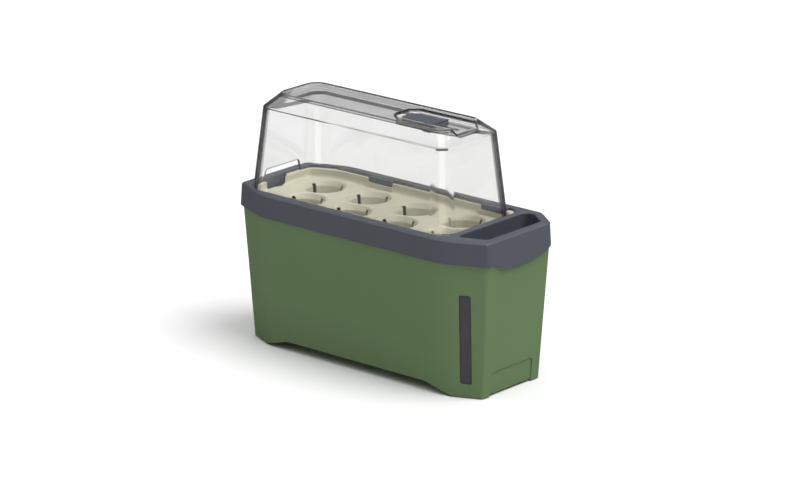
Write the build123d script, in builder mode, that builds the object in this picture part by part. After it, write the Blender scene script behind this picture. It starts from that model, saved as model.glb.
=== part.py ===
# Indoor herb planter: a water tub, a rim collar with a filling trough, a lift-out
# seed tray, a clear growing dome with a sliding vent, and a sight window with a float.
# Millimetres. The origin is the middle of the standing face, X runs along the planter
# towards the filling trough, Y runs towards its back, Z is up.
import os
from math import atan2, cos, degrees, radians, sin, sqrt, tan

from build123d import *

os.makedirs("parts", exist_ok=True)

# Shared by all pieces
cut_overrun = 1.0
lift_clearance = 0.4
quarter_turn = 90.0

# Rim collar, plan: a long octagon whose corners are long facets
collar_length = 400.0
collar_width = 168.0
facet_run = 53.0
facet_depth = 24.0
trough_facet_run = 32.0
facet_blend = 80.0
collar_corner_radius = 3.0
trough_corner_radius = 14.0

# Rim collar, section
crest_height = 201.5
crest_thickness = 3.0
crest_bevel = 2.2
crest_width = 11.6
crest_inner_round = 0.8
trough_edge_round = 2.4
skirt_height = 29.5
skirt_wall = 2.2
skirt_flare = 1.5
inner_wall = 2.5
inner_wall_height = 21.5
ledge_width = 3.0
ledge_thickness = 3.0

# Rim collar, grip lip at the filling end
grip_height = 39.7
grip_front_gap = 38.0
grip_back_gap = 24.0
lip_reach = 14.0
lip_shares = (0.28, 0.55)

# Rim collar, openings for the tray and for filling
opening_end_gap = 57.8
opening_corner = 10.0
opening_round = 3.0
opening_front_round = 35.0
trough_left_gap = 50.0
trough_right_gap = 12.0
trough_back_gap = 12.0
trough_front_left_gap = 24.0
trough_front_right_gap = 38.0
trough_back_right_gap = 29.0
trough_back_run = 24.0
trough_round = 7.0
trough_depth = 30.5
drain_length = 20.0
drain_width = 5.0
drain_spacing = 20.0
drain_count = 3

# Rim collar, locating blocks along the back
block_length = 38.0
block_shares = (-0.19, 0.2625)
block_front_gap = 21.2
block_height = 7.0

# Tub
foot_proud = 0.8
tub_gap = 0.5
shoulder_rise = 1.2
tub_draft = 3.65
tub_wall = 3.0
tub_corner_radius = 5.0
tub_floor = 4.2
neck_inset = 5.5
neck_wall = 2.5
arch_height = 12.5
arch_flat_share = 0.565
arch_span_share = 0.77
recess_top = 31.5
recess_width = 78.0
recess_depth = 1.4
recess_round = 5.0
end_arch_height = 3.0
end_arch_depth = 12.0

# Foot pads
pad_radius = 8.0
pad_thickness = 2.8
pad_end_gap = 35.0
pad_edge_gap = 40.0

# Sight window
window_width = 15.0
window_bottom = 18.0
window_top_gap = 68.5
window_round = 3.0
window_seat = 7.0
pane_clearance = 0.3
pane_recess = 1.0
pane_flange = 4.0
pane_flange_thickness = 2.0
gasket_thickness = 0.8

# Float guide behind the window
guide_rim = 4.0
guide_ear = 8.0
guide_plate = 2.0
guide_wall = 2.0
guide_depth = 12.2
guide_margin = 1.5
guide_slots = 5
guide_slot_width = 10.0
guide_slot_height = 12.0
screw_spacing = 12.0
screw_radius = 1.45
screw_length = 8.2
head_radius = 2.75
head_height = 2.0
drive_radius = 1.2
drive_depth = 1.1
drive_sides = 6

# Level float
float_height = 24.0
float_clearance = 0.4
float_round = 2.0

# Seed tray
lip_drop = 3.0
lip_thickness = 2.4
lip_width = 8.4
lip_width_right = 5.5
tray_wall = 2.0
tray_depth = 13.0
tray_floor = 2.0
tray_fillet = 4.0
basin_round = 5.0
sill_height = 5.8

# Planting cups
cup_pitch_share = 0.1875
cup_count = 4
row_shares = (0.1488, 0.1964)
front_row_shift = 18.0
cup_neck_share = 0.1458
cup_mouth_width = 5.3
cup_mouth_round = 2.0
cup_mouth_slope = 57.0
cup_narrowing = 5.0
cup_wall = 2.0
cup_depth = 60.5
slit_width = 5.0
slit_count = 4
slit_turn = 70.0
slit_top_gap = 3.0
slit_bottom_gap = 6.0
cup_drain_radius = 5.0

# Finger cut in the tray
finger_cut_middle = -5.5
finger_cut_radius = 19.0
finger_cut_depth = 9.4
finger_cut_reach = 27.5

# Dome
dome_left_gap = 12.0
dome_right_gap = 3.2
dome_wall = 3.0
dome_edge_gap = 14.0
dome_corner = 19.0
dome_fold_round = 12.0
dome_shoulder_rise = 101.3
dome_shoulder_run = 12.7
shoulder_width_share = 0.675
shoulder_corner = 11.2
dome_rise = 117.9
dome_plate_run = 26.8
plate_width_share = 0.438
plate_corner = 10.6
notch_bottom_width = 71.0
notch_top_width = 60.0
notch_rise = 12.5
notch_round = 3.0

# Vent well in the dome's top
well_length = 99.2
well_half_width = 23.0
well_corner = 11.0
well_depth = 7.7
well_draft = 28.0
well_wall = 2.5
vent_inset = 12.0
vent_length = 30.0
vent_width = 5.0
vent_pitch = 8.0
vent_count = 3
louvre_inset = 61.0
louvre_count = 12
louvre_pitch = 3.2
louvre_width = 1.5
louvre_length = 6.0
louvre_y = 14.0

# Vent slider and the keeper below it
slider_inset = 6.5
slider_length = 61.0
slider_half_width = 17.3
slider_corner = 9.0
slider_thickness = 4.0
slider_round = 0.6
slider_travel = 34.0
tab_thickness = 3.0
tab_height = 2.2
tab_width = 24.0
leg_inset = 51.0
leg_length = 8.0
leg_width = 4.0
leg_clearance = 0.5
keeper_length = 12.0
keeper_width = 24.0
keeper_thickness = 3.0
keeper_clearance = 0.3

# Sizes worked out from the ones above
half_length = collar_length / 2
half_width = collar_width / 2
square_corner_share = 2 - sqrt(2)
skirt_bottom = crest_height - skirt_height
inner_wall_bottom = crest_height - inner_wall_height
lip_bottom = crest_height - grip_height
lip_front = half_width - grip_front_gap
lip_back = half_width - grip_back_gap
opening_right = half_length - opening_end_gap
trough_left = half_length - trough_left_gap
trough_right = half_length - trough_right_gap
trough_floor_top = crest_height - trough_depth
trough_back = half_width - trough_back_gap
trough_front_left = half_width - trough_front_left_gap
trough_front_right = half_width - trough_front_right_gap
trough_back_right = half_width - trough_back_right_gap
block_front = half_width - block_front_gap
block_centres = [collar_length * share for share in block_shares]
arch_flat = collar_length * arch_flat_share
arch_span = collar_length * arch_span_share
pad_x = half_length - pad_end_gap
pad_y = half_width - pad_edge_gap
window_top = crest_height - window_top_gap
tray_floor_top = crest_height - tray_depth
cup_bottom = tray_floor_top - cup_depth
mouth_turn = radians(cup_mouth_slope)
mouth_run = cup_mouth_width - cup_mouth_round * sin(mouth_turn)
mouth_depth = cup_mouth_round * (1 - cos(mouth_turn)) + mouth_run * tan(mouth_turn)
slit_top = tray_floor_top - slit_top_gap
slit_bottom = cup_bottom + slit_bottom_gap
cup_pitch = collar_length * cup_pitch_share
back_row_y = collar_width * row_shares[0]
front_row_y = -collar_width * row_shares[1]
cup_neck_radius = collar_width * cup_neck_share
cup_foot_radius = cup_neck_radius - cup_narrowing
finger_cut_x = crest_width + finger_cut_depth - finger_cut_radius - half_length
dome_left = dome_left_gap - half_length
dome_right = opening_right - dome_right_gap
dome_centre = (dome_left + dome_right) / 2
dome_half_length = (dome_right - dome_left) / 2
dome_half_width = half_width - dome_edge_gap
shoulder_half_length = dome_half_length - dome_shoulder_run
plate_half_length = dome_half_length - dome_plate_run
shoulder_height = crest_height + dome_shoulder_rise
shoulder_half_width = half_width * shoulder_width_share
plate_height = crest_height + dome_rise
plate_half_width = half_width * plate_width_share
notch_top = crest_height + notch_rise
neck_top = crest_height - crest_thickness
lip_top = crest_height - lip_drop
ledge_top = lip_top - lip_thickness
shoulder = skirt_bottom + shoulder_rise
skirt_draft = degrees(atan2(skirt_flare, crest_height - skirt_bottom))
skirt_draft_slope = tan(radians(skirt_draft))
tub_slope = tan(radians(tub_draft))
tub_inset = skirt_wall + tub_gap - skirt_draft_slope * (crest_height - shoulder)
tub_floor_top = foot_proud + tub_floor
well_floor = plate_height - well_depth
well_left = dome_centre + plate_half_length - well_length
vent_left = well_left + vent_inset
louvre_left = well_left + louvre_inset
slider_left = well_left + slider_inset
leg_x = well_left + leg_inset


def beside_facet(corner):
    """True for a plan's corner where a long side meets a long facet."""
    return abs(abs(corner.X) - half_length + facet_run) < facet_run / 2 and not by_trough(corner)


def by_left(corner):
    """True for what stands at the left half."""
    return corner.center().X < 0


def by_trough(shape):
    """True for what stands at the back of the filling end."""
    return shape.center().X > 0 and shape.center().Y > 0


def wide_corner(corner):
    """True for the corners at the left of the tray opening that get a wide round."""
    return by_left(corner) and (beside_facet(corner) or corner.Y < 0)


def at_end(edge):
    """True for the edges at the two ends, away from the filling end's back."""
    return abs(edge.center().X) > half_length - facet_run / 2 and not by_trough(edge)


def rising(edge):
    """True for the edges that climb, as the corners of a drafted wall do."""
    climb = edge @ 1 - edge @ 0
    return abs(climb.Z) > max(abs(climb.X), abs(climb.Y))


def collar_plan(height, inset=0.0):
    """The collar's long octagon at a height, drawn in by an even inset."""
    with BuildSketch(Plane.XY.offset(height)) as plan:
        with BuildLine():
            Polyline(
                (-half_length, -half_width + facet_depth),
                (-half_length + facet_run, -half_width),
                (half_length - facet_run, -half_width),
                (half_length, -half_width + facet_depth),
                (half_length, half_width - facet_depth),
                (half_length - trough_facet_run, half_width),
                (-half_length + facet_run, half_width),
                (-half_length, half_width - facet_depth),
                close=True,
            )
        make_face()
        if inset:
            offset(amount=-inset, kind=Kind.INTERSECTION)
        fillet(plan.vertices().filter_by(beside_facet), facet_blend - inset)
    return plan.sketch


def opening_plan(height, inset=0.0, right_inset=None, rounding=opening_round):
    """The tray opening at a height, drawn in by an inset, its right end by another."""
    if right_inset is None:
        right_inset = inset
    with BuildSketch(Plane.XY.offset(height)) as plan:
        with BuildLine():
            Polyline(
                (-half_length, -half_width),
                (half_length, -half_width),
                (half_length, half_width),
                (-half_length + facet_run, half_width),
                (-half_length, half_width - facet_depth),
                close=True,
            )
        make_face()
        offset(amount=-crest_width - inset, kind=Kind.INTERSECTION)
        with Locations((opening_right - right_inset, 0)):
            Rectangle(
                collar_length,
                collar_width,
                align=(Align.MAX, Align.CENTER),
                mode=Mode.INTERSECT,
            )
        right_corners = plan.vertices().group_by(Axis.X)[-1]
        chamfer(right_corners, opening_corner - inset * square_corner_share)
        fillet([corner for corner in plan.vertices() if not wide_corner(corner)], rounding)
        back_corner = plan.vertices().filter_by(wide_corner).sort_by(Axis.Y)[-1]
        fillet(back_corner, facet_blend - crest_width - inset)
        front_corner = plan.vertices().filter_by(wide_corner).sort_by(Axis.Y)[0]
        fillet(front_corner, opening_front_round - inset)
    return plan.sketch


def trough_plan(height, grow=0.0):
    """The filling trough at a height, grown by the wall round it."""
    with BuildSketch(Plane.XY.offset(height)) as plan:
        with BuildLine():
            Polyline(
                (trough_left, -trough_front_left),
                (trough_right, -trough_front_right),
                (trough_right, trough_back_right),
                (trough_right - trough_back_run, trough_back),
                (trough_left, trough_back),
                close=True,
            )
        make_face()
        fillet(plan.vertices(), trough_round)
        if grow:
            offset(amount=grow)
    return plan.sketch


def octagon(height, half_x, half_y, corner, rounding):
    """A rectangle with equal cut corners and rounded folds, in the dome's middle."""
    with BuildSketch(Plane((dome_centre, 0, height))) as plan:
        Rectangle(2 * half_x, 2 * half_y)
        chamfer(plan.vertices(), corner)
        fillet(plan.vertices(), rounding)
    return plan.sketch


# The plane of the front facet that holds the sight window, at shoulder height
facet_angle = atan2(facet_depth, facet_run)
facet_end_x = half_length - tub_inset
facet_end_y = half_width - facet_depth - tub_inset * tan((radians(90) - facet_angle) / 2)
facet_start_x = half_length - facet_run - tub_inset * tan(facet_angle / 2)
facet_start_y = half_width - tub_inset
window_plane = Plane(
    origin=((facet_end_x + facet_start_x) / 2, -(facet_end_y + facet_start_y) / 2, shoulder),
    x_dir=(cos(facet_angle), sin(facet_angle), 0),
    z_dir=(
        sin(facet_angle) * cos(radians(tub_draft)),
        -cos(facet_angle) * cos(radians(tub_draft)),
        -sin(radians(tub_draft)),
    ),
)
end_plane = Plane(
    origin=(half_length - tub_inset, 0, shoulder),
    x_dir=(0, 1, 0),
    z_dir=(cos(radians(tub_draft)), 0, -sin(radians(tub_draft))),
)
tub_foot_x = half_length - tub_inset - tub_slope * (shoulder - foot_proud)
window_height = (window_top - window_bottom) / cos(radians(tub_draft))
window_drop = (shoulder - (window_top + window_bottom) / 2) / cos(radians(tub_draft))
window_middle = window_plane.location * Location((0, -window_drop, 0))
gasket_back = window_seat + gasket_thickness
flange_back = gasket_back + pane_flange_thickness
flange_width = window_width + 2 * pane_flange
flange_height = window_height + 2 * pane_flange
guide_back = flange_back + guide_plate
guide_frame_width = flange_width + 2 * guide_rim
guide_frame_height = flange_height + 2 * guide_ear
channel_width = window_width + 2 * guide_margin
channel_height = window_height - 2 * guide_margin
screw_y = flange_height / 2 + guide_ear / 2


def window_face(depth):
    """A plane inside the tub, parallel to the window facet, at a depth below its face."""
    return Plane(window_middle * Location((0, 0, -depth)))


def cup_centres():
    """The middle of every planting cup, back row first."""
    first = dome_centre - cup_pitch * (cup_count - 1) / 2
    back = [(first + cup_pitch * i, back_row_y) for i in range(cup_count)]
    front = [(x + front_row_shift, front_row_y) for x, _ in back]
    return back + front


# Water space inside the tub, with the raised floor and the window seat left standing
with BuildPart() as water_space:
    space_top = shoulder - tub_wall
    extrude(
        collar_plan(space_top, tub_inset + tub_wall * (1 + tub_slope)),
        amount=space_top - tub_floor_top,
        dir=(0, 0, -1),
        taper=tub_draft,
    )
    with BuildSketch(Plane.XZ) as raised_floor:
        with BuildLine():
            Polyline(
                (-arch_span / 2 - tub_floor, -cut_overrun),
                (-arch_flat / 2 - tub_floor / 2, arch_height + tub_floor),
                (arch_flat / 2 + tub_floor / 2, arch_height + tub_floor),
                (arch_span / 2 + tub_floor, -cut_overrun),
                close=True,
            )
        make_face()
    extrude(amount=collar_width, both=True, mode=Mode.SUBTRACT)
    with BuildSketch(window_face(window_seat)) as seat:
        Rectangle(guide_frame_width + 2 * cut_overrun, guide_frame_height + 2 * cut_overrun)
    extrude(amount=window_seat, mode=Mode.SUBTRACT)
    extrude(
        collar_plan(space_top - cut_overrun, neck_inset + neck_wall),
        amount=neck_top - space_top + 2 * cut_overrun,
    )

# Reservoir tub
with BuildPart() as reservoir_tub:
    extrude(
        collar_plan(shoulder, tub_inset),
        amount=shoulder - foot_proud,
        dir=(0, 0, -1),
        taper=tub_draft,
    )
    fillet(reservoir_tub.edges().filter_by(rising).filter_by(by_trough), tub_corner_radius)
    fillet(reservoir_tub.edges().filter_by(rising).filter_by(at_end), tub_corner_radius)
    extrude(collar_plan(shoulder, neck_inset), amount=neck_top - shoulder)
    # The neck leaves room for the collar's inner wall at the rounded front corner
    extrude(
        opening_plan(inner_wall_bottom - lift_clearance, -inner_wall - lift_clearance),
        amount=inner_wall_height,
        mode=Mode.SUBTRACT,
    )
    add(water_space.part, mode=Mode.SUBTRACT)
    with BuildSketch(Plane.XZ) as arch:
        with BuildLine():
            Polyline(
                (-arch_span / 2, foot_proud),
                (-arch_flat / 2, arch_height),
                (arch_flat / 2, arch_height),
                (arch_span / 2, foot_proud),
                (arch_span / 2, -cut_overrun),
                (-arch_span / 2, -cut_overrun),
                close=True,
            )
        make_face()
    extrude(amount=collar_width, both=True, mode=Mode.SUBTRACT)
    with BuildSketch(window_face(-cut_overrun)) as slot:
        RectangleRounded(window_width, window_height, window_round)
    extrude(amount=-(window_seat + 2 * cut_overrun), mode=Mode.SUBTRACT)
    with BuildSketch(window_face(window_seat)) as pilots:
        with GridLocations(screw_spacing, 2 * screw_y, 2, 2):
            Circle(screw_radius)
    extrude(amount=screw_length + window_seat - guide_back, mode=Mode.SUBTRACT)
    with BuildSketch(end_plane) as end_recess:
        with Locations((0, recess_top - shoulder)):
            Rectangle(recess_width, 2 * recess_top, align=(Align.CENTER, Align.MAX))
        fillet(end_recess.vertices().group_by(Axis.Y)[-1], recess_round)
    extrude(amount=-recess_depth, mode=Mode.SUBTRACT)
    with BuildSketch(Plane.XY) as end_arch:
        with Locations((half_length, 0)):
            Rectangle(
                half_length - tub_foot_x + end_arch_depth,
                recess_width,
                align=(Align.MAX, Align.CENTER),
            )
    extrude(amount=end_arch_height, mode=Mode.SUBTRACT)
    with BuildSketch(Plane.XY) as pad_sockets:
        with GridLocations(2 * pad_x, 2 * pad_y, 2, 2):
            Circle(pad_radius)
    extrude(amount=pad_thickness, mode=Mode.SUBTRACT)

# Foot pads, one under each corner
with BuildPart() as foot_pads:
    with BuildSketch(Plane.XY) as pad_discs:
        with GridLocations(2 * pad_x, 2 * pad_y, 2, 2):
            Circle(pad_radius)
    extrude(amount=pad_thickness)

# Sight window: gasket, smoked pane, float guide, its screws and the float
with BuildPart() as window_gasket:
    with BuildSketch(window_face(window_seat)) as gasket_ring:
        RectangleRounded(flange_width, flange_height, window_round + pane_flange)
        RectangleRounded(window_width, window_height, window_round, mode=Mode.SUBTRACT)
    extrude(amount=-gasket_thickness)

with BuildPart() as window_pane:
    with BuildSketch(window_face(gasket_back)) as pane_flange_outline:
        RectangleRounded(flange_width, flange_height, window_round + pane_flange)
    extrude(amount=-pane_flange_thickness)
    with BuildSketch(window_face(gasket_back)) as pane_boss:
        RectangleRounded(
            window_width - 2 * pane_clearance,
            window_height - 2 * pane_clearance,
            window_round - pane_clearance,
        )
    extrude(amount=gasket_back - pane_recess)

with BuildPart() as float_guide:
    with BuildSketch(window_face(window_seat)) as guide_frame:
        RectangleRounded(guide_frame_width, guide_frame_height, guide_rim)
    extrude(amount=-(guide_back - window_seat))
    with BuildSketch(window_face(guide_back)) as channel_walls:
        Rectangle(channel_width + 2 * guide_wall, channel_height + 2 * guide_wall)
    extrude(amount=-(guide_depth + guide_wall))
    with BuildSketch(window_face(window_seat)) as flange_pocket:
        RectangleRounded(
            flange_width + 2 * pane_clearance,
            flange_height + 2 * pane_clearance,
            window_round + pane_flange + pane_clearance,
        )
    extrude(amount=-(flange_back - window_seat), mode=Mode.SUBTRACT)
    with BuildSketch(window_face(flange_back)) as channel:
        Rectangle(channel_width, channel_height)
    extrude(amount=-(guide_plate + guide_depth), mode=Mode.SUBTRACT)
    slot_pitch = channel_height / guide_slots
    with BuildSketch(window_face(guide_back + guide_depth)) as water_slots:
        with GridLocations(0, slot_pitch, 1, guide_slots):
            RectangleRounded(guide_slot_width, guide_slot_height, guide_rim / 2)
    extrude(amount=-(guide_wall + cut_overrun), mode=Mode.SUBTRACT)
    with BuildSketch(window_face(window_seat)) as screw_holes:
        with GridLocations(screw_spacing, 2 * screw_y, 2, 2):
            Circle(screw_radius)
    extrude(amount=-(guide_back - window_seat), mode=Mode.SUBTRACT)

with BuildPart() as guide_screws:
    with BuildSketch(window_face(guide_back)) as shanks:
        with GridLocations(screw_spacing, 2 * screw_y, 2, 2):
            Circle(screw_radius)
    extrude(amount=screw_length)
    with BuildSketch(window_face(guide_back)) as heads:
        with GridLocations(screw_spacing, 2 * screw_y, 2, 2):
            Circle(head_radius)
    extrude(amount=-head_height)
    with BuildSketch(window_face(guide_back + head_height)) as drives:
        with GridLocations(screw_spacing, 2 * screw_y, 2, 2):
            RegularPolygon(drive_radius, drive_sides)
    extrude(amount=drive_depth, mode=Mode.SUBTRACT)

with BuildPart() as level_float:
    float_width = channel_width - 2 * float_clearance
    float_depth = guide_plate + guide_depth - 2 * float_clearance
    float_drop = (channel_height - float_height) / 2 - float_clearance
    with BuildSketch(window_face(flange_back + float_clearance)) as float_face:
        with Locations((0, -float_drop)):
            RectangleRounded(float_width, float_height, float_round)
    extrude(amount=-float_depth)

# Rim collar: skirt, crest, inner wall, trough, ledge and locating blocks
with BuildPart() as rim_collar:
    extrude(
        collar_plan(crest_height),
        amount=crest_height - lip_bottom,
        dir=(0, 0, -1),
        taper=-skirt_draft,
    )
    fillet(rim_collar.edges().filter_by(rising).filter_by(by_trough), trough_corner_radius)
    fillet(rim_collar.edges().filter_by(rising).filter_by(at_end), collar_corner_radius)
    chamfer(rim_collar.faces().sort_by(Axis.Z)[-1].edges(), crest_bevel)
    # Everything below the skirt's edge goes, all but the grip lip at the filling end
    with BuildSketch(Plane.XY.offset(skirt_bottom)) as skirt_trim:
        with Locations((half_length - crest_width, 0)):
            Rectangle(2 * collar_length, 2 * collar_width, align=(Align.MAX, Align.CENTER))
    extrude(amount=-collar_width, mode=Mode.SUBTRACT)
    with BuildSketch(Plane.YZ.offset(half_length - crest_width - cut_overrun)) as lip_trim:
        with BuildLine():
            lip_curve = Spline(
                (-lip_front, skirt_bottom),
                (-lip_front + lip_reach, lip_bottom + lip_shares[0] * (skirt_bottom - lip_bottom)),
                (0, lip_bottom),
                (lip_back - lip_reach, lip_bottom + lip_shares[1] * (skirt_bottom - lip_bottom)),
                (lip_back, skirt_bottom),
            )
            Polyline(
                lip_curve @ 1,
                (collar_width, skirt_bottom),
                (collar_width, 0),
                (-collar_width, 0),
                (-collar_width, skirt_bottom),
                lip_curve @ 0,
            )
        make_face()
    extrude(amount=2 * crest_width, mode=Mode.SUBTRACT)
    extrude(
        collar_plan(neck_top, skirt_wall - skirt_draft_slope * crest_thickness),
        amount=neck_top - lip_bottom + cut_overrun,
        dir=(0, 0, -1),
        taper=-skirt_draft,
        mode=Mode.SUBTRACT,
    )
    extrude(opening_plan(inner_wall_bottom, -inner_wall), amount=neck_top - inner_wall_bottom)
    trough_bottom = trough_floor_top - inner_wall
    extrude(trough_plan(trough_bottom, inner_wall), amount=neck_top - trough_bottom)
    extrude(
        opening_plan(inner_wall_bottom - cut_overrun),
        amount=ledge_top - ledge_thickness - inner_wall_bottom + cut_overrun,
        mode=Mode.SUBTRACT,
    )
    extrude(
        opening_plan(inner_wall_bottom, ledge_width),
        amount=crest_height - inner_wall_bottom,
        mode=Mode.SUBTRACT,
    )
    extrude(opening_plan(ledge_top), amount=crest_height - ledge_top + cut_overrun, mode=Mode.SUBTRACT)
    extrude(
        trough_plan(trough_floor_top),
        amount=crest_height - trough_floor_top + cut_overrun,
        mode=Mode.SUBTRACT,
    )
    with BuildSketch(Plane.XY.offset(trough_floor_top)) as drain:
        with Locations(((trough_left + trough_right) / 2, 0)):
            with GridLocations(0, drain_spacing, 1, drain_count):
                SlotOverall(drain_length, drain_width)
    extrude(amount=-(inner_wall + cut_overrun), mode=Mode.SUBTRACT)
    with BuildSketch(Plane.XY.offset(crest_height)) as blocks:
        for centre in block_centres:
            with Locations((centre, block_front)):
                Rectangle(
                    block_length,
                    half_width - crest_width - block_front + inner_wall / 2,
                    align=(Align.CENTER, Align.MIN),
                )
    extrude(amount=-block_height)
    with BuildSketch(Plane.XY.offset(ledge_top)) as finger_pocket:
        with Locations((-half_length + crest_width, finger_cut_middle - finger_cut_reach)):
            Rectangle(
                ledge_width + cut_overrun,
                finger_cut_reach + finger_cut_radius,
                align=(Align.MIN, Align.MIN),
            )
    extrude(amount=-ledge_thickness, mode=Mode.SUBTRACT)
    for opening, rounding in enumerate((crest_inner_round, trough_edge_round)):
        crest_top = rim_collar.faces().sort_by(Axis.Z)[-1]
        fillet(crest_top.inner_wires().sort_by(Axis.X)[opening].edges(), rounding)

# Seed tray: lip, basin, planting cups, pockets round the collar's blocks, finger cut
with BuildPart() as seed_tray:
    basin_bottom = tray_floor_top - tray_floor
    extrude(opening_plan(ledge_top, lift_clearance), amount=lip_thickness)
    extrude(
        opening_plan(
            basin_bottom,
            lip_width - tray_wall,
            lip_width_right - tray_wall,
            basin_round,
        ),
        amount=ledge_top - basin_bottom,
    )
    extrude(
        opening_plan(tray_floor_top, lip_width, lip_width_right, basin_round),
        amount=lip_top - tray_floor_top,
        mode=Mode.SUBTRACT,
    )
    fillet(seed_tray.edges(Select.LAST).group_by(Axis.Z)[0], tray_fillet)
    with BuildSketch(Plane.XY.offset(basin_bottom)) as pocket_walls:
        for centre in block_centres:
            with Locations((centre, block_front - lift_clearance - tray_wall)):
                Rectangle(
                    block_length + 2 * (lift_clearance + tray_wall),
                    half_width - crest_width - lip_width + 2 * tray_wall - block_front,
                    align=(Align.CENTER, Align.MIN),
                )
    extrude(amount=tray_floor + sill_height)
    with BuildSketch(Plane.XY.offset(basin_bottom - cut_overrun)) as pockets:
        for centre in block_centres:
            with Locations((centre, block_front - lift_clearance)):
                Rectangle(
                    block_length + 2 * lift_clearance,
                    half_width - block_front,
                    align=(Align.CENTER, Align.MIN),
                )
    extrude(amount=lip_top - basin_bottom + 2 * cut_overrun, mode=Mode.SUBTRACT)
    for x, y in cup_centres():
        with BuildSketch(Plane((x, y, 0), x_dir=(1, 0, 0), z_dir=(0, -1, 0))) as cup_outside:
            with BuildLine():
                Polyline(
                    (0, cup_bottom),
                    (cup_foot_radius + cup_wall, cup_bottom),
                    (cup_neck_radius + cup_wall, tray_floor_top - mouth_depth),
                    (cup_neck_radius + cup_mouth_width + cup_wall / 2, basin_bottom),
                    (cup_neck_radius + cup_mouth_width + cup_wall / 2, tray_floor_top),
                    (0, tray_floor_top),
                    close=True,
                )
            make_face()
        revolve(axis=Axis((x, y, 0), (0, 0, 1)))
    for x, y in cup_centres():
        with BuildSketch(Plane((x, y, 0), x_dir=(1, 0, 0), z_dir=(0, -1, 0))) as cup_inside:
            with BuildLine():
                mouth = CenterArc(
                    (cup_neck_radius + cup_mouth_width, tray_floor_top - cup_mouth_round),
                    cup_mouth_round,
                    quarter_turn,
                    cup_mouth_slope,
                )
                Polyline(
                    mouth @ 1,
                    (cup_neck_radius, tray_floor_top - mouth_depth),
                    (cup_foot_radius, cup_bottom + cup_wall),
                    (0, cup_bottom + cup_wall),
                    (0, tray_floor_top + cut_overrun),
                    (cup_neck_radius + cup_mouth_width, tray_floor_top + cut_overrun),
                    mouth @ 0,
                )
            make_face()
        revolve(axis=Axis((x, y, 0), (0, 0, 1)), mode=Mode.SUBTRACT)
    with BuildSketch(Plane.XY.offset(slit_bottom)) as slits:
        for x, y in cup_centres():
            with Locations((x, y)):
                with PolarLocations(cup_neck_radius, slit_count, start_angle=slit_turn):
                    Rectangle(2 * (cup_wall + cup_mouth_width), slit_width)
    extrude(amount=slit_top - slit_bottom, mode=Mode.SUBTRACT)
    with BuildSketch(Plane.XY.offset(cup_bottom)) as cup_drains:
        with Locations(*cup_centres()):
            Circle(cup_drain_radius)
    extrude(amount=2 * cup_wall, mode=Mode.SUBTRACT)
    with BuildSketch(Plane.XY.offset(tray_floor_top)) as finger_wall_cut:
        with Locations((-half_length + crest_width, finger_cut_middle)):
            Rectangle(lip_width + tray_fillet, finger_cut_reach, align=(Align.MIN, Align.MAX))
    extrude(amount=lip_top - tray_floor_top, mode=Mode.SUBTRACT)
    with BuildSketch(Plane.XY.offset(lip_top)) as finger_cut:
        with Locations((finger_cut_x, finger_cut_middle)):
            Circle(finger_cut_radius)
    extrude(amount=basin_bottom - lip_top - cut_overrun, mode=Mode.SUBTRACT)


def dome_sections(inset, bottom, top):
    """The dome's three octagons, drawn in by a wall, from its foot to its plate."""
    corner_inset = inset * square_corner_share
    return [
        octagon(
            bottom,
            dome_half_length - inset,
            dome_half_width - inset,
            dome_corner - corner_inset,
            dome_fold_round - inset,
        ),
        octagon(
            shoulder_height,
            shoulder_half_length - inset,
            shoulder_half_width - inset,
            shoulder_corner - corner_inset,
            dome_fold_round - inset,
        ),
        octagon(
            top,
            plate_half_length - inset,
            plate_half_width - inset,
            plate_corner - corner_inset,
            dome_fold_round - inset,
        ),
    ]


def well_plan(grow=0.0):
    """The vent well in the dome's plate, open at the filling end."""
    well_right = dome_centre + dome_half_length
    with BuildSketch(Plane.XY.offset(plate_height)) as plan:
        with Locations((well_left - grow, 0)):
            Rectangle(
                well_right - well_left + grow,
                2 * (well_half_width + grow),
                align=(Align.MIN, Align.CENTER),
            )
        chamfer(plan.vertices().group_by(Axis.X)[0], well_corner)
    return plan.sketch


# The dome's outer form, its hollow, and the well's floor and walls
with BuildPart() as dome_form:
    loft(dome_sections(0, lip_top, plate_height), ruled=True)

with BuildPart() as dome_hollow:
    loft(dome_sections(dome_wall, lip_top - cut_overrun, plate_height - dome_wall), ruled=True)

with BuildPart() as well_shell:
    extrude(well_plan(well_wall), amount=-(well_depth + well_wall), taper=well_draft)
    add(dome_form.part, mode=Mode.INTERSECT)

# What the dome's foot leaves free where it passes over the collar's crest and blocks
with BuildPart() as crest_relief:
    relief_height = lip_drop + lift_clearance + cut_overrun
    extrude(collar_plan(lip_top - cut_overrun), amount=relief_height)
    extrude(
        opening_plan(lip_top - cut_overrun, lift_clearance / 2),
        amount=relief_height,
        mode=Mode.SUBTRACT,
    )
    with BuildSketch(Plane.XY.offset(lip_top - cut_overrun)) as block_relief:
        for centre in block_centres:
            with Locations((centre, block_front - lift_clearance)):
                Rectangle(
                    block_length + 2 * lift_clearance,
                    half_width - block_front,
                    align=(Align.CENTER, Align.MIN),
                )
    extrude(amount=relief_height)

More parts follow.
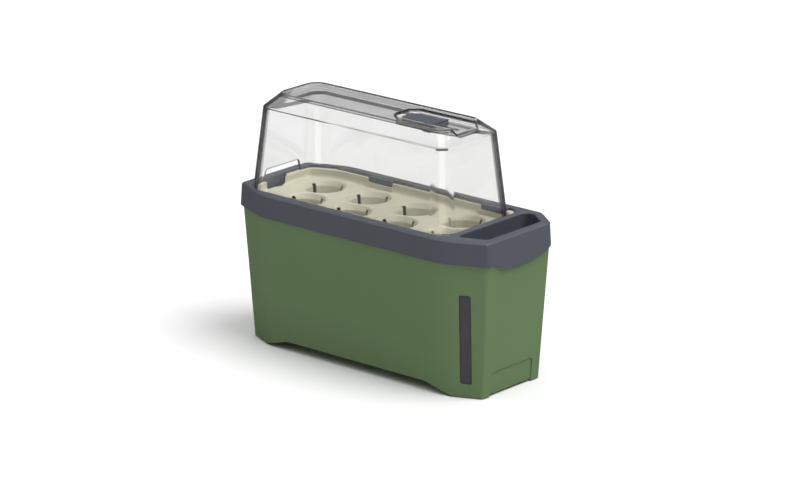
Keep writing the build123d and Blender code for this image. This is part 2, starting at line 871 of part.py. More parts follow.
# Clear dome
with BuildPart() as clear_dome:
    add(dome_form.part)
    add(dome_hollow.part, mode=Mode.SUBTRACT)
    add(well_shell.part)
    extrude(well_plan(), amount=-well_depth, taper=well_draft, mode=Mode.SUBTRACT)
    add(crest_relief.part, mode=Mode.SUBTRACT)
    with BuildSketch(Plane.YZ.offset(dome_centre - dome_half_length - cut_overrun)) as notch:
        with BuildLine():
            Polyline(
                (-notch_bottom_width / 2, lip_top - cut_overrun),
                (-notch_top_width / 2, notch_top),
                (notch_top_width / 2, notch_top),
                (notch_bottom_width / 2, lip_top - cut_overrun),
                close=True,
            )
        make_face()
        fillet(notch.vertices().group_by(Axis.Y)[-1], notch_round)
    extrude(amount=dome_corner, mode=Mode.SUBTRACT)
    with BuildSketch(Plane.XY.offset(well_floor)) as vents:
        with Locations((vent_left + vent_length / 2, 0)):
            with GridLocations(0, vent_pitch, 1, vent_count):
                SlotOverall(vent_length, vent_width)
        louvre_middle = louvre_left + louvre_pitch * (louvre_count - 1) / 2
        with Locations((louvre_middle, louvre_y)):
            with GridLocations(louvre_pitch, 0, louvre_count, 1):
                Rectangle(louvre_width, louvre_length)
        with Locations((leg_x + slider_travel / 2, 0)):
            Rectangle(
                leg_length + slider_travel + 2 * leg_clearance,
                leg_width + 2 * leg_clearance,
            )
    extrude(amount=-(well_wall + cut_overrun), mode=Mode.SUBTRACT)

# Vent slider: plate, finger tab and the leg that reaches through the well's floor
with BuildPart() as vent_slider:
    with BuildSketch(Plane.XY.offset(well_floor)) as slider_plate:
        with Locations((slider_left, 0)):
            Rectangle(
                slider_length,
                2 * slider_half_width,
                align=(Align.MIN, Align.CENTER),
            )
        chamfer(slider_plate.vertices(), slider_corner)
    extrude(amount=slider_thickness)
    fillet(vent_slider.faces().sort_by(Axis.Z)[-1].edges(), slider_round)
    with BuildSketch(Plane.XY.offset(well_floor + slider_thickness)) as tab:
        with Locations((slider_left + slider_length - tab_thickness, 0)):
            Rectangle(tab_thickness, tab_width, align=(Align.MAX, Align.CENTER))
    extrude(amount=tab_height)
    leg_drop = well_wall + keeper_clearance + keeper_thickness
    with BuildSketch(Plane.XY.offset(well_floor)) as leg:
        with Locations((leg_x, 0)):
            Rectangle(leg_length, leg_width)
    extrude(amount=-leg_drop)

# Keeper clipped on the leg under the well's floor
with BuildPart() as slider_keeper:
    with BuildSketch(Plane.XY.offset(well_floor - leg_drop)) as keeper_plate:
        with Locations((leg_x, 0)):
            Rectangle(keeper_length, keeper_width)
            Rectangle(leg_length, leg_width, mode=Mode.SUBTRACT)
    extrude(amount=keeper_thickness)

for part, name in (
    (reservoir_tub, "reservoir_tub"),
    (foot_pads, "foot_pads"),
    (window_gasket, "window_gasket"),
    (window_pane, "window_pane"),
    (float_guide, "float_guide"),
    (guide_screws, "guide_screws"),
    (level_float, "level_float"),
    (rim_collar, "rim_collar"),
    (seed_tray, "seed_tray"),
    (clear_dome, "clear_dome"),
    (vent_slider, "vent_slider"),
    (slider_keeper, "slider_keeper"),
):
    part.part.label = name
    export_step(part.part, f"parts/{name}.step")
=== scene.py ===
"""Looks of an indoor herb planter: a green water tub, a slate rim collar with a filling
trough, a cream seed tray and a clear dome with a sliding vent."""

from math import radians

import bmesh
import bpy
from bpy.props import FloatProperty, FloatVectorProperty, PointerProperty
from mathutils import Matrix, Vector


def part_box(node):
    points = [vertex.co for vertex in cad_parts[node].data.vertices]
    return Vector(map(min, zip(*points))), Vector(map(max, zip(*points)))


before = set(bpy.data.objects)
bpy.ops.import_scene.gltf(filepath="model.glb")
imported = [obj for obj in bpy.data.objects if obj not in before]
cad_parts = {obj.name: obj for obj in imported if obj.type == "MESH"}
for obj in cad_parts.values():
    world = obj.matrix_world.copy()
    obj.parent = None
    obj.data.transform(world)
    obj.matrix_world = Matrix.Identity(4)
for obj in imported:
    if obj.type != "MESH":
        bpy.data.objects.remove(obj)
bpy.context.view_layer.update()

bl_info = {
    "name": "Indoor Herb Planter",
    "version": (1, 0, 0),
    "blender": (4, 5, 0),
    "location": "3D View > Sidebar > Planter",
    "description": "Finishes the pieces of an indoor herb planter and sets its stage",
    "category": "Object",
}

# Plastics: refractive indices, how far roughness varies, how much of an edge's lighter colour
# shows (rubbed wear and a painted highlight), and the grain of the float and its guide, in
# metres
PLASTIC_IOR = 1.47
CLEAR_IOR = 1.5
ROUGHNESS_PLAY = 0.06
EDGE_WEAR_AND_HIGHLIGHT_SHARE = 0.5
GUIDE_GRAIN = 0.0007
# Pairs of colours that a pattern blends, then plain colours
STEEL = ((0.50, 0.50, 0.51), (0.66, 0.66, 0.67))
# Painted shade: the dark that a dome corner shows when it is seen edge-on.
EDGE_ON_PAINTED_DARK = ((0.020, 0.020, 0.021), (0.030, 0.030, 0.031))
OPEN_AIR = (0.93, 0.93, 0.93, 1)
FLOOR_WHITE = (0.93, 0.93, 0.93, 1)

# How far up a face of the dome points, where a share starts to grow and where it is full
LEVEL_FACE = (0.8, 0.9)
NEAR_SLOPE = (0.3, 0.5)
# How far down it points, which only a wall or a slope that is seen from inside does
FAR_WALL = (0.02, 0.10)
FAR_SLOPE = (0.2, 0.4)
# How far it points both sideways and to the front or back
CORNER_FACE = (0.02, 0.12)
CORNER_MIDDLE = (0.25, 0.42)

# How low the view is on a face of the dome, from 0 for square on to 1 for edge-on
LOW_ON_PLATE = (0.48, 0.70)
LOW_ON_SLOPE = (0.42, 0.56)
LOW_ON_CORNER = (0.55, 0.80)

# The dome's upright corners, in metres from its middle: how much farther out sideways than
# forwards they are, half their width at the shoulder, how much that grows for each metre
# down, and half the width of the glint on them
CORNER_PLACE = 0.0938
CORNER_REACH = (0.0162, 0.0172)
CORNER_FLARE = 0.0748
GLINT_REACH = (0.003, 0.008)
# The way that they face, how much lighter the painted shade on a far one is, and how dark the
# painted shade on the slopes over them is
CORNER_SIDE, CORNER_RISE = 0.703, 0.11
FAR_CORNER_FADE = 0.3
SLANT_SHADE = 0.45

# Painted dark strips round the dome, painted shade: low edge and high edge above the
# shoulder, and softness, in metres
PAINTED_RIBBON = (-0.0074, -0.0034, 0.0007)
CORNER_CRESCENT_SHADE = (-0.0026, 0.0008, 0.0004)
SHOULDER_FOLD = (-0.0005, 0.0005, 0.0002)
FOLD_SHADE_BREAK = (-0.0015, 0.0015, 0.0005)
# The same above the plate
UPPER_RIM = (-0.0007, 0, 0.0002)
LOWER_RIM = (-0.0031, -0.0024, 0.0002)
RIM_GAP = (-0.0026, 0, 0.0002)
WELL_LIP = (-0.0104, -0.0092, 0.0003)

# Where shares start to grow and are full: by how far a fold bends, by height, and by place
# sideways and to the back, in metres
FOLD_SHADE_BEND = (0.002, 0.02)
FOLD_SHADE_FADE = 0.9
WALL_TOP = (-0.0002, 0.0002)
SLOPE_FOOT = (0, 0.0005)
PLATE_ONLY = (-0.0040, -0.0035)
LEFT_RIBBON_FOOT = (-0.0081, -0.0074)
LEFT_RIBBON_RIGHT = (-0.1655, -0.1620)
LEFT_RIBBON_BACK = (-0.012, 0.004)
FOLD_RIGHT = (-0.068, -0.040)
FOLD_BACK = (-0.05, -0.04)
LIP_LEFT = (0.110, 0.113)
LIP_SIDES = (0.019, 0.021)

# Stage: how far up the sky starts to brighten and is brightest, and lengths in metres
SKY_CLIMB = (0.42, 0.85)
FLOOR_DROP = 0.0002
SENSOR_WIDTH_MM = 36
VIEW_DEPTH = 100


class PlanterPlastics(bpy.types.PropertyGroup):
    """Colours and grain of the moulded pieces"""

    green: FloatVectorProperty(
        name="Tub green", description="Colour of the water tub",
        subtype="COLOR", size=3, min=0, max=1, default=(0.132, 0.208, 0.090),
    )
    slate: FloatVectorProperty(
        name="Collar slate", description="Colour of the rim collar and the vent slider",
        subtype="COLOR", size=3, min=0, max=1, default=(0.085, 0.092, 0.112),
    )
    cream: FloatVectorProperty(
        name="Tray cream", description="Colour of the seed tray",
        subtype="COLOR", size=3, min=0, max=1, default=(0.52, 0.50, 0.385),
    )
    grain: FloatProperty(
        name="Grain", description="Width of the fine moulded grain",
        subtype="DISTANCE", min=0.0002, max=0.005, default=0.0007,
    )
    rounding: FloatProperty(
        name="Edge rounding", description="Radius on the moulded pieces' edges",
        subtype="DISTANCE", min=0.0001, max=0.002, default=0.0005,
    )


class PlanterClear(bpy.types.PropertyGroup):
    """The clear and smoked pieces"""

    tint: FloatVectorProperty(
        name="Dome tint", description="What the clear dome lets through",
        subtype="COLOR", size=3, min=0, max=1, default=(0.888, 0.890, 0.888),
    )
    # Painted highlight: the glint on the dome's corners, and the slopes seen from inside made
    # lighter.
    painted_highlight_tint: FloatVectorProperty(
        name="Corner tint", description="What the glint on the dome's corners lets through",
        subtype="COLOR", size=3, min=0, max=1, default=(0.99, 0.99, 0.99),
    )
    # Painted shade: the plate darker where it is seen at a low angle.
    plate_grazing_shade_tint: FloatVectorProperty(
        name="Deep tint", description="What the dome's plate lets through at a low angle",
        subtype="COLOR", size=3, min=0, max=1, default=(0.690, 0.692, 0.690),
    )
    # Painted shade: the dome darker above its shoulder, except where a wall is seen from
    # inside.
    slope_shade_tint: FloatVectorProperty(
        name="Slope tint", description="What the dome lets through above its shoulder",
        subtype="COLOR", size=3, min=0, max=1, default=(0.810, 0.812, 0.810),
    )
    # Painted shade: the dark ribbon under the shoulder on walls seen from inside.
    ribbon_shade_tint: FloatVectorProperty(
        name="Ribbon tint", description="What the far shoulder's ribbon lets through",
        subtype="COLOR", size=3, min=0, max=1, default=(0.16, 0.16, 0.162),
    )
    # Painted shade: the plate's rim and the gap between its rims darker.
    rim_shade_tint: FloatVectorProperty(
        name="Rim tint", description="What the rim of the dome's plate lets through",
        subtype="COLOR", size=3, min=0, max=1, default=(0.27, 0.27, 0.272),
    )
    centre: FloatProperty(
        name="Dome centre", description="Where the dome's middle is along the planter",
        subtype="DISTANCE", min=-1, max=1, default=-0.0245,
    )
    shoulder_height: FloatProperty(
        name="Shoulder height", description="Height of the fold above the dome's walls",
        subtype="DISTANCE", min=0, max=1, default=0.3028,
    )
    plate_height: FloatProperty(
        name="Plate height", description="Height of the dome's plate",
        subtype="DISTANCE", min=0, max=1, default=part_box("clear_dome")[1][2],
    )
    # Painted shade: the dark lines along the dome's folds and rims.
    fold_line_shade_tint: FloatVectorProperty(
        name="Seam tint", description="What the dome's folds and rims let through",
        subtype="COLOR", size=3, min=0, max=1, default=(0.024, 0.024, 0.025),
    )
    # Painted shade: width of the dark band along the dome's folds.
    fold_line_shade_width: FloatProperty(
        name="Seam width", description="Width of the darker band along the dome's folds",
        subtype="DISTANCE", min=0.0002, max=0.003, default=0.0010,
    )
    # Painted shade: how dark the dome's corners are painted where seen edge-on.
    edge_shade: FloatProperty(
        name="Edge shade", description="How dark the dome's corners are when seen edge-on",
        subtype="FACTOR", min=0, max=1, default=0.88,
    )
    smoke: FloatVectorProperty(
        name="Window smoke", description="Colour of the sight window's pane",
        subtype="COLOR", size=3, min=0, max=1, default=(0.063, 0.064, 0.068),
    )
    rounding: FloatProperty(
        name="Edge rounding", description="Radius on the dome's folds",
        subtype="DISTANCE", min=0.0001, max=0.004, default=0.0025,
    )


class PlanterFittings(bpy.types.PropertyGroup):
    """Colours of the small fittings"""

    foot_rubber: FloatVectorProperty(
        name="Foot rubber", description="Colour of the foot pads",
        subtype="COLOR", size=3, min=0, max=1, default=(0.02, 0.02, 0.02),
    )
    seal_rubber: FloatVectorProperty(
        name="Seal rubber", description="Colour of the sight window's gasket",
        subtype="COLOR", size=3, min=0, max=1, default=(0.012, 0.012, 0.012),
    )
    guide_white: FloatVectorProperty(
        name="Guide white", description="Colour of the float's guide",
        subtype="COLOR", size=3, min=0, max=1, default=(0.68, 0.68, 0.66),
    )
    float_red: FloatVectorProperty(
        name="Float red", description="Colour of the level float",
        subtype="COLOR", size=3, min=0, max=1, default=(0.45, 0.02, 0.012),
    )


class PlanterStage(bpy.types.PropertyGroup):
    """Camera, floor and lights"""

    camera_place: FloatVectorProperty(
        name="Camera place", description="Where the camera stands",
        subtype="TRANSLATION", size=3, default=(3.2073, -3.7041, 1.6817),
    )
    camera_turn: FloatVectorProperty(
        name="Camera turn", description="The way the camera faces",
        subtype="EULER", size=3, default=(radians(72.5), 0, radians(40.8)),
    )
    lens: FloatProperty(
        name="Lens", description="Focal length for a 36 mm wide sensor, in millimetres",
        min=10, max=400, default=187.16,
    )
    sky: FloatProperty(
        name="Sky strength", description="Light from overhead",
        min=0, max=5, default=1.15,
    )
    horizon: FloatProperty(
        name="Horizon strength", description="Light from low all round",
        min=0, max=5, default=0.12,
    )
    key: FloatProperty(
        name="Key strength", description="Strength of the soft light over the filling end",
        min=0, max=20, default=1.95,
    )
    key_softness: FloatProperty(
        name="Key softness", description="How wide the key light looks from the planter",
        subtype="ANGLE", min=0, max=radians(90), default=radians(40),
    )
    key_side: FloatVectorProperty(
        name="Key side", description="The way from the planter to the key light",
        subtype="DIRECTION", size=3, default=(0.50, 0.12, 0.86),
    )
    floor_size: FloatProperty(
        name="Floor size", description="Side of the square floor",
        subtype="DISTANCE", min=1, max=100, default=40,
    )


class Signal:
    """A number that changes over a surface. Sums on it add Math nodes."""

    def __init__(self, recipe, socket):
        self.recipe = recipe
        self.socket = socket

    def math(self, operation, *others):
        values = dict(enumerate((self, *others)))
        node = self.recipe.node("ShaderNodeMath", {"operation": operation}, values)
        return Signal(self.recipe, node.outputs[0])

    def __add__(self, other):
        return self.math("ADD", other)

    def __sub__(self, other):
        return self.math("SUBTRACT", other)

    def __mul__(self, other):
        return self.math("MULTIPLY", other)

    def __rsub__(self, other):
        return self * -1 + other

    def __abs__(self):
        return self.math("ABSOLUTE")

    __radd__ = __add__
    __rmul__ = __mul__

    def ramp(self, start, end):
        """0 at start and 1 at end, smooth between them."""
        node = self.recipe.node(
            "ShaderNodeMapRange",
            {"interpolation_type": "SMOOTHSTEP"},
            {"Value": self, "From Min": start, "From Max": end},
        )
        return Signal(self.recipe, node.outputs[0])

    def band(self, low, high, soft):
        """1 between low and high, 0 outside, with soft edges."""
        return self.ramp(low - soft, low) * (1 - self.ramp(high, high + soft))


class Recipe:
    """A material or a world, built node by node."""

    def __init__(self, owner):
        self.owner = owner
        owner.use_nodes = True
        self.tree = owner.node_tree
        self.tree.nodes.clear()

    def node(self, kind, settings=None, sockets=None):
        """Adds a node, sets it up, then fills its sockets with values or links."""
        node = self.tree.nodes.new(kind)
        for name, value in (settings or {}).items():
            setattr(node, name, value)
        for name, value in (sockets or {}).items():
            socket = node.inputs[name]
            if isinstance(value, Signal):
                value = value.socket
            if isinstance(value, bpy.types.NodeSocket):
                self.tree.links.new(value, socket)
            else:
                socket.default_value = value
        return node

    def place(self):
        """Where a point is on the planter, in metres."""
        return self.node("ShaderNodeTexCoord").outputs["Object"]

    def noise(self, size, detail=2.0, roughness=0.5):
        """Smooth noise from 0 to 1 with features of a size in metres."""
        node = self.node(
            "ShaderNodeTexNoise",
            {"noise_dimensions": "3D"},
            {
                "Vector": self.place(), "Scale": 1 / size,
                "Detail": detail, "Roughness": roughness,
            },
        )
        return Signal(self, node.outputs["Fac"])

    def blend(self, share, first, second):
        """A colour between two, by a share that changes over the surface."""
        node = self.node(
            "ShaderNodeMix",
            {"data_type": "RGBA"},
            {"Factor": share, 6: self.colour(first), 7: self.colour(second)},
        )
        return node.outputs[2]

    def colour(self, value):
        """A colour with its fourth channel, or the link that carries one."""
        return value if isinstance(value, bpy.types.NodeSocket) else (*value[:3], 1)

    def rounded(self, radius):
        """The surface normal with its edges softened by a radius."""
        node = self.node("ShaderNodeBevel", {"samples": 4}, {"Radius": radius})
        return node.outputs["Normal"]

    def edge(self, radius, start=0.02, end=0.28):
        """0 on open faces, rising to 1 near edges. A low start and end catch flat folds."""
        geometry = self.node("ShaderNodeNewGeometry")
        dot = self.node(
            "ShaderNodeVectorMath",
            {"operation": "DOT_PRODUCT"},
            {0: self.rounded(radius), 1: geometry.outputs["Normal"]},
        )
        return (1 - Signal(self, dot.outputs["Value"])).ramp(start, end)

    def split(self, vector):
        """The three numbers of a place or a normal."""
        parts = self.node("ShaderNodeSeparateXYZ", None, {"Vector": vector})
        return [Signal(self, parts.outputs[axis]) for axis in "XYZ"]

    def glance(self, start, end, way=None):
        """0 where a face, or a way given in its place, is seen square on, and 1 at a low
        angle."""
        sockets = {"Blend": 0.5}
        if way is not None:
            sockets["Normal"] = way
        weight = self.node("ShaderNodeLayerWeight", None, sockets)
        return Signal(self, weight.outputs["Facing"]).ramp(start, end)

    def bump(self, height, distance, normal):
        """A normal with a fine relief of a height in metres."""
        node = self.node(
            "ShaderNodeBump", None,
            {"Height": height, "Distance": distance, "Strength": 1.0, "Normal": normal},
        )
        return node.outputs["Normal"]

    def finish(self, shader, output="ShaderNodeOutputMaterial"):
        """Links the last shader and hands back the material or the world."""
        self.node(output, None, {"Surface": shader.outputs[0]})
        return self.owner


def material_recipe(name):
    """A recipe for a new material."""
    return Recipe(bpy.data.materials.new(name))


def shade(colour, factor):
    """A colour made lighter or darker by a factor."""
    return tuple(min(1.0, channel * factor) for channel in colour)


def drift_with_edge_wear_and_highlight(recipe, drift, colour, spread, lighter, edge):
    """A colour that drifts slowly and is lighter along the edges, partly as rubbed wear and
    partly as a painted highlight.
    """
    body = recipe.blend(drift, shade(colour, 1 - spread), shade(colour, 1 + spread))
    # The lighter edge colour is partly rubbed wear and partly a painted highlight.
    return recipe.blend(recipe.edge(edge) * EDGE_WEAR_AND_HIGHLIGHT_SHARE, body, shade(colour, lighter))


def moulded_plastic(name, colour, roughness, grain, relief, rounding):
    """Satin moulded plastic: fine grain, slow drift of colour, edges lighter, partly rubbed
    wear and partly a painted highlight.
    """
    recipe = material_recipe(name)
    drift = recipe.noise(size=0.09, detail=3)
    fine = recipe.noise(size=grain, detail=2)
    return recipe.finish(recipe.node("ShaderNodeBsdfPrincipled", None, {
        "Base Color": drift_with_edge_wear_and_highlight(recipe, drift, colour, spread=0.045, lighter=1.28, edge=0.0012),
        "Roughness": (drift + fine) * ROUGHNESS_PLAY + (roughness - ROUGHNESS_PLAY),
        "Normal": recipe.bump(fine, relief, recipe.rounded(rounding)),
        "IOR": PLASTIC_IOR,
        "Specular IOR Level": 0.42,
    }))


def cream_plastic(name, colour, grain, rounding):
    """Dull cream plastic with a fine grain and edges lighter, partly rubbed wear and partly a
    painted highlight.
    """
    recipe = material_recipe(name)
    drift = recipe.noise(size=0.06, detail=3)
    fine = recipe.noise(size=grain, detail=2)
    least_rough, play, relief = 0.42, 0.08, 0.000015
    return recipe.finish(recipe.node("ShaderNodeBsdfPrincipled", None, {
        "Base Color": drift_with_edge_wear_and_highlight(recipe, drift, colour, spread=0.03, lighter=1.2, edge=0.001),
        "Roughness": drift * play + least_rough,
        "Normal": recipe.bump(fine, relief, recipe.rounded(rounding)),
        "IOR": PLASTIC_IOR,
        "Specular IOR Level": 0.4,
    }))


class DomeSpot:
    """Where a point of the dome is, and which way its face points on the side that shows."""

    def __init__(self, recipe, look):
        self.recipe = recipe
        self.look = look
        geometry = recipe.node("ShaderNodeNewGeometry")
        self.right, self.back, height = recipe.split(recipe.place())
        sideways, backwards, upwards = recipe.split(geometry.outputs["Normal"])
        self.off_centre = self.right - look.centre
        self.over_shoulder = height - look.shoulder_height
        self.over_plate = height - look.plate_height
        # How far round the nearest upright corner, from the corner's middle
        self.aside = abs(abs(self.off_centre) - abs(self.back) - CORNER_PLACE)
        self.turned = abs(sideways * backwards)
        self.corner = self.turned.ramp(*CORNER_FACE)
        self.outside = 1 - Signal(recipe, geometry.outputs["Backfacing"])
        self.level = upwards.ramp(*LEVEL_FACE)
        self.near_slope = upwards.ramp(*NEAR_SLOPE) * (1 - self.level) * self.outside
        downwards = upwards * -1
        self.far = downwards.ramp(*FAR_WALL)
        self.far_slope = downwards.ramp(*FAR_SLOPE)


def far_painted_ribbon(spot):
    """The painted dark ribbon, a painted shade, under the shoulder on walls that are seen
    from inside. It is wider at the front of the left end."""
    left_end = (
        (1 - spot.right.ramp(*LEFT_RIBBON_RIGHT)) * (1 - spot.back.ramp(*LEFT_RIBBON_BACK))
    )
    wide = spot.over_shoulder.ramp(*LEFT_RIBBON_FOOT) * left_end
    return spot.over_shoulder.band(*PAINTED_RIBBON).math("MAXIMUM", wide) * spot.far


def near_painted_lines(spot):
    """The painted dark lines, painted shade, along the plate's rims, the front shoulder, its
    corner and the open end of the vent well."""
    near = spot.outside * (1 - spot.far)
    rims = spot.over_plate.band(*UPPER_RIM) + spot.over_plate.band(*LOWER_RIM)
    fold = spot.over_shoulder.band(*SHOULDER_FOLD) * near
    fold = fold * (1 - spot.right.ramp(*FOLD_RIGHT)) * (1 - spot.back.ramp(*FOLD_BACK))
    # Painted shade: a dark crescent where the shoulder meets a near corner.
    crescent_shade = spot.over_shoulder.band(*CORNER_CRESCENT_SHADE) * spot.turned.ramp(*CORNER_MIDDLE) * near
    lip = spot.over_plate.band(*WELL_LIP) * spot.right.ramp(*LIP_LEFT)
    lip = lip * (1 - abs(spot.back).ramp(*LIP_SIDES))
    return rims * spot.near_slope + fold + crescent_shade + lip


def dome_tint(spot):
    """What the dome lets through at a spot, with painted shade and painted highlights laid
    in: each share lays its tint over those before.
    """
    recipe, look = spot.recipe, spot.look
    # Painted shade along the dome's folds.
    fold_shade = recipe.edge(look.fold_line_shade_width, *FOLD_SHADE_BEND)
    layers = (
        # Painted shade above the shoulder.
        (spot.over_shoulder.ramp(*SLOPE_FOOT) * (1 - spot.far), look.slope_shade_tint),
        # Painted highlight: the glint on the corners, then the lighter far slopes.
        (spot.corner * (1 - spot.aside.ramp(*GLINT_REACH)), look.painted_highlight_tint),
        (spot.far_slope, look.painted_highlight_tint),
        # Painted shade on the plate where it is seen at a low angle.
        (
            recipe.glance(*LOW_ON_PLATE) * spot.level * spot.over_plate.ramp(*PLATE_ONLY),
            look.plate_grazing_shade_tint,
        ),
        (far_painted_ribbon(spot), look.ribbon_shade_tint),
        # Painted shade between the plate's rims.
        (spot.over_plate.band(*RIM_GAP) * spot.near_slope, look.rim_shade_tint),
        (near_painted_lines(spot), look.fold_line_shade_tint),
        (fold_shade * (1 - spot.over_shoulder.band(*FOLD_SHADE_BREAK) * FOLD_SHADE_FADE), look.fold_line_shade_tint),
    )
    tint = look.tint
    for share, layer_tint in layers:
        tint = recipe.blend(share, tint, layer_tint)
    return tint


def edge_on_painted_shade(spot):
    """How much painted shade darkens an upright corner, or the slope over it, where it is
    seen edge-on.
    """
    recipe = spot.recipe
    walls = 1 - spot.over_shoulder.ramp(*WALL_TOP)
    corner_way = recipe.node("ShaderNodeCombineXYZ", None, {
        "X": spot.off_centre.math("SIGN") * CORNER_SIDE,
        "Y": spot.back.math("SIGN") * CORNER_SIDE,
        "Z": CORNER_RISE,
    })
    reach = spot.aside + spot.over_shoulder * CORNER_FLARE
    upright = 1 - reach.ramp(*CORNER_REACH)
    upright = upright * recipe.glance(*LOW_ON_CORNER, way=corner_way.outputs[0])
    upright = upright * walls * (1 - spot.far * FAR_CORNER_FADE)
    slant = spot.corner * recipe.glance(*LOW_ON_SLOPE) * (1 - spot.far_slope) * (1 - walls)
    return (upright + slant * SLANT_SHADE) * spot.look.edge_shade


def clear_plastic(name, look):
    """Clear polished plastic, with painted shade along its folds and where a corner is seen
    edge-on, and painted highlights on its corners. Lamps shine through it."""
    recipe = material_recipe(name)
    spot = DomeSpot(recipe, look)
    ripple = recipe.noise(size=0.05, detail=1)
    least_rough, play = 0.004, 0.01
    clear = recipe.node("ShaderNodeBsdfPrincipled", None, {
        "Base Color": dome_tint(spot),
        "Roughness": ripple * play + least_rough,
        "Normal": recipe.rounded(look.rounding),
        "IOR": CLEAR_IOR,
        "Transmission Weight": 1.0,
    })
    # A dark shader that paints shade where a corner is seen edge-on.
    dark = recipe.node("ShaderNodeBsdfPrincipled", None, {
        "Base Color": recipe.blend(ripple, *EDGE_ON_PAINTED_DARK),
        "Roughness": 0.12,
        "IOR": CLEAR_IOR,
    })
    body = recipe.node("ShaderNodeMixShader", None, {
        0: edge_on_painted_shade(spot), 1: clear.outputs[0], 2: dark.outputs[0],
    })
    open_air = recipe.node("ShaderNodeBsdfTransparent", None, {"Color": OPEN_AIR})
    lamp = recipe.node("ShaderNodeLightPath").outputs["Is Shadow Ray"]
    return recipe.finish(recipe.node("ShaderNodeMixShader", None, {
        0: lamp, 1: body.outputs[0], 2: open_air.outputs[0],
    }))


def smoked_plastic(name, colour, rounding):
    """Dark glossy pane with a faint swirl."""
    recipe = material_recipe(name)
    swirl = recipe.noise(size=0.02, detail=2)
    least_rough, play = 0.12, 0.05
    return recipe.finish(recipe.node("ShaderNodeBsdfPrincipled", None, {
        "Base Color": recipe.blend(swirl, shade(colour, 0.9), shade(colour, 1.15)),
        "Roughness": swirl * play + least_rough,
        "Normal": recipe.rounded(rounding),
        "Coat Weight": 0.4,
        "Coat Roughness": 0.05,
        "IOR": CLEAR_IOR,
    }))


def soft_rubber(name, colour):
    """Dull rubber with a fine uneven skin."""
    recipe = material_recipe(name)
    skin = recipe.noise(size=0.0012, detail=3)
    least_rough, play, relief, rounding = 0.7, 0.15, 0.00005, 0.0004
    return recipe.finish(recipe.node("ShaderNodeBsdfPrincipled", None, {
        "Base Color": recipe.blend(skin, shade(colour, 0.8), shade(colour, 1.3)),
        "Roughness": skin * play + least_rough,
        "Normal": recipe.bump(skin, relief, recipe.rounded(rounding)),
    }))


def screw_steel(name):
    """Bright steel with fine turning marks."""
    recipe = material_recipe(name)
    marks = recipe.noise(size=0.0005, detail=2)
    least_rough, play, rounding = 0.25, 0.15, 0.0002
    return recipe.finish(recipe.node("ShaderNodeBsdfPrincipled", None, {
        "Base Color": recipe.blend(marks, *STEEL),
        "Metallic": 1.0,
        "Roughness": marks * play + least_rough,
        "Normal": recipe.rounded(rounding),
    }))


def studio_floor(name):
    """Plain pale floor."""
    recipe = material_recipe(name)
    return recipe.finish(recipe.node("ShaderNodeBsdfPrincipled", None, {
        "Base Color": FLOOR_WHITE,
        "Roughness": 0.9,
        "Specular IOR Level": 0.1,
    }))


def studio_sky(name, overhead, low):
    """Soft light from overhead that fades to a darker band low down."""
    recipe = Recipe(bpy.data.worlds.new(name))
    way = recipe.node("ShaderNodeTexCoord").outputs["Generated"]
    climb = recipe.split(way)[2].ramp(*SKY_CLIMB)
    sky = recipe.node("ShaderNodeBackground", None, {
        "Color": (1, 1, 1, 1),
        "Strength": climb * (overhead - low) + low,
    })
    return recipe.finish(sky, "ShaderNodeOutputWorld")


def paint(piece, material):
    """Gives a piece one material."""
    piece.data.materials.clear()
    piece.data.materials.append(material)


class PLANTER_OT_tub(bpy.types.Operator):
    """Finishes the green water tub and its rubber foot pads"""

    bl_idname = "planter.tub"
    bl_label = "Water tub"

    def execute(self, context):
        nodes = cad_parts
        look = context.scene.planter_plastics
        rubber = context.scene.planter_fittings.foot_rubber
        paint(nodes["reservoir_tub"], moulded_plastic(
            "tub_green", look.green, roughness=0.46, grain=look.grain,
            relief=0.00002, rounding=look.rounding,
        ))
        paint(nodes["foot_pads"], soft_rubber("foot_rubber", rubber))
        return {"FINISHED"}


class PLANTER_OT_window(bpy.types.Operator):
    """Finishes the sight window: pane, gasket, float guide, screws and float"""

    bl_idname = "planter.window"
    bl_label = "Sight window"

    def execute(self, context):
        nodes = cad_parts
        smoke = context.scene.planter_clear.smoke
        look = context.scene.planter_fittings
        paint(nodes["window_pane"], smoked_plastic("pane_smoke", smoke, rounding=0.0006))
        paint(nodes["window_gasket"], soft_rubber("seal_rubber", look.seal_rubber))
        paint(nodes["float_guide"], moulded_plastic(
            "guide_white", look.guide_white, roughness=0.5, grain=GUIDE_GRAIN,
            relief=0.00002, rounding=0.0003,
        ))
        paint(nodes["guide_screws"], screw_steel("screw_steel"))
        paint(nodes["level_float"], moulded_plastic(
            "float_red", look.float_red, roughness=0.35, grain=GUIDE_GRAIN,
            relief=0.00001, rounding=0.0005,
        ))
        return {"FINISHED"}


class PLANTER_OT_collar(bpy.types.Operator):
    """Finishes the slate rim collar with its filling trough"""

    bl_idname = "planter.collar"
    bl_label = "Rim collar"

    def execute(self, context):
        look = context.scene.planter_plastics
        paint(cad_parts["rim_collar"], moulded_plastic(
            "collar_slate", look.slate, roughness=0.44, grain=look.grain,
            relief=0.00002, rounding=look.rounding,
        ))
        return {"FINISHED"}


class PLANTER_OT_tray(bpy.types.Operator):
    """Finishes the cream seed tray with its planting cups"""

    bl_idname = "planter.tray"
    bl_label = "Seed tray"

    def execute(self, context):
        look = context.scene.planter_plastics
        cream = cream_plastic("tray_cream", look.cream, look.grain, look.rounding)
        paint(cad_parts["seed_tray"], cream)
        return {"FINISHED"}


class PLANTER_OT_dome(bpy.types.Operator):
    """Finishes the clear dome"""

    bl_idname = "planter.dome"
    bl_label = "Clear dome"

    def execute(self, context):
        clear = clear_plastic("dome_clear", context.scene.planter_clear)
        paint(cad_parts["clear_dome"], clear)
        return {"FINISHED"}


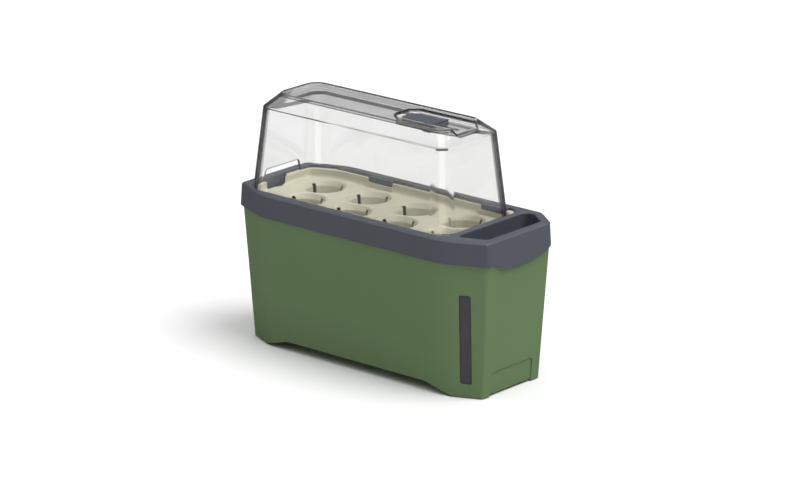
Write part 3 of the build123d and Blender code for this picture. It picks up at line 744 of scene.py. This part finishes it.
class PLANTER_OT_vent(bpy.types.Operator):
    """Finishes the vent slider and its keeper"""

    bl_idname = "planter.vent"
    bl_label = "Vent slider"

    def execute(self, context):
        look = context.scene.planter_plastics
        slate = moulded_plastic(
            "slider_slate", look.slate, roughness=0.40, grain=look.grain,
            relief=0.00001, rounding=look.rounding,
        )
        paint(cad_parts["vent_slider"], slate)
        paint(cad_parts["slider_keeper"], slate)
        return {"FINISHED"}


class PLANTER_OT_stage(bpy.types.Operator):
    """Sets the camera, the pale floor and the soft studio light"""

    bl_idname = "planter.stage"
    bl_label = "Studio stage"

    def execute(self, context):
        stage = context.scene.planter_stage
        scene = context.scene
        camera = bpy.data.objects.new("camera", bpy.data.cameras.new("camera"))
        scene.collection.objects.link(camera)
        camera.location = stage.camera_place
        camera.rotation_euler = stage.camera_turn
        camera.data.sensor_width = SENSOR_WIDTH_MM
        camera.data.lens = stage.lens
        camera.data.clip_end = VIEW_DEPTH
        scene.camera = camera

        form = bmesh.new()
        bmesh.ops.create_grid(form, x_segments=1, y_segments=1, size=stage.floor_size / 2)
        bmesh.ops.translate(form, vec=(0, 0, -FLOOR_DROP), verts=form.verts)
        mesh = bpy.data.meshes.new("studio_floor")
        form.to_mesh(mesh)
        form.free()
        floor = bpy.data.objects.new("studio_floor", mesh)
        scene.collection.objects.link(floor)
        paint(floor, studio_floor("floor_white"))
        floor.visible_glossy = False

        light = bpy.data.lights.new("key_light", "SUN")
        light.energy = stage.key
        light.angle = stage.key_softness
        lamp = bpy.data.objects.new("key_light", light)
        scene.collection.objects.link(lamp)
        lamp.rotation_euler = Vector(stage.key_side).to_track_quat("Z", "Y").to_euler()

        scene.world = studio_sky("studio_sky", stage.sky, stage.horizon)
        scene.view_settings.view_transform = "Standard"
        return {"FINISHED"}


class PLANTER_PT_panel(bpy.types.Panel):
    """Pieces of the planter"""

    bl_label = "Indoor herb planter"
    bl_idname = "PLANTER_PT_panel"
    bl_space_type = "VIEW_3D"
    bl_region_type = "UI"
    bl_category = "Planter"

    def draw(self, context):
        for operator in OPERATORS:
            self.layout.operator(operator.bl_idname)


OPERATORS = (
    PLANTER_OT_stage,
    PLANTER_OT_tub,
    PLANTER_OT_window,
    PLANTER_OT_collar,
    PLANTER_OT_tray,
    PLANTER_OT_dome,
    PLANTER_OT_vent,
)
GROUPS = (
    ("planter_plastics", PlanterPlastics),
    ("planter_clear", PlanterClear),
    ("planter_fittings", PlanterFittings),
    ("planter_stage", PlanterStage),
)


def register():
    """Registers the settings, the operators and the panel."""
    for name, group in GROUPS:
        bpy.utils.register_class(group)
        setattr(bpy.types.Scene, name, PointerProperty(type=group))
    for cls in (*OPERATORS, PLANTER_PT_panel):
        bpy.utils.register_class(cls)


def unregister():
    """Takes them out again, last first."""
    for cls in (PLANTER_PT_panel, *reversed(OPERATORS)):
        bpy.utils.unregister_class(cls)
    for name, group in reversed(GROUPS):
        delattr(bpy.types.Scene, name)
        bpy.utils.unregister_class(group)


def main():
    """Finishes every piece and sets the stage."""
    register()
    bpy.ops.planter.stage()
    bpy.ops.planter.tub()
    bpy.ops.planter.window()
    bpy.ops.planter.collar()
    bpy.ops.planter.tray()
    bpy.ops.planter.dome()
    bpy.ops.planter.vent()


if __name__ == "__main__":
    main()
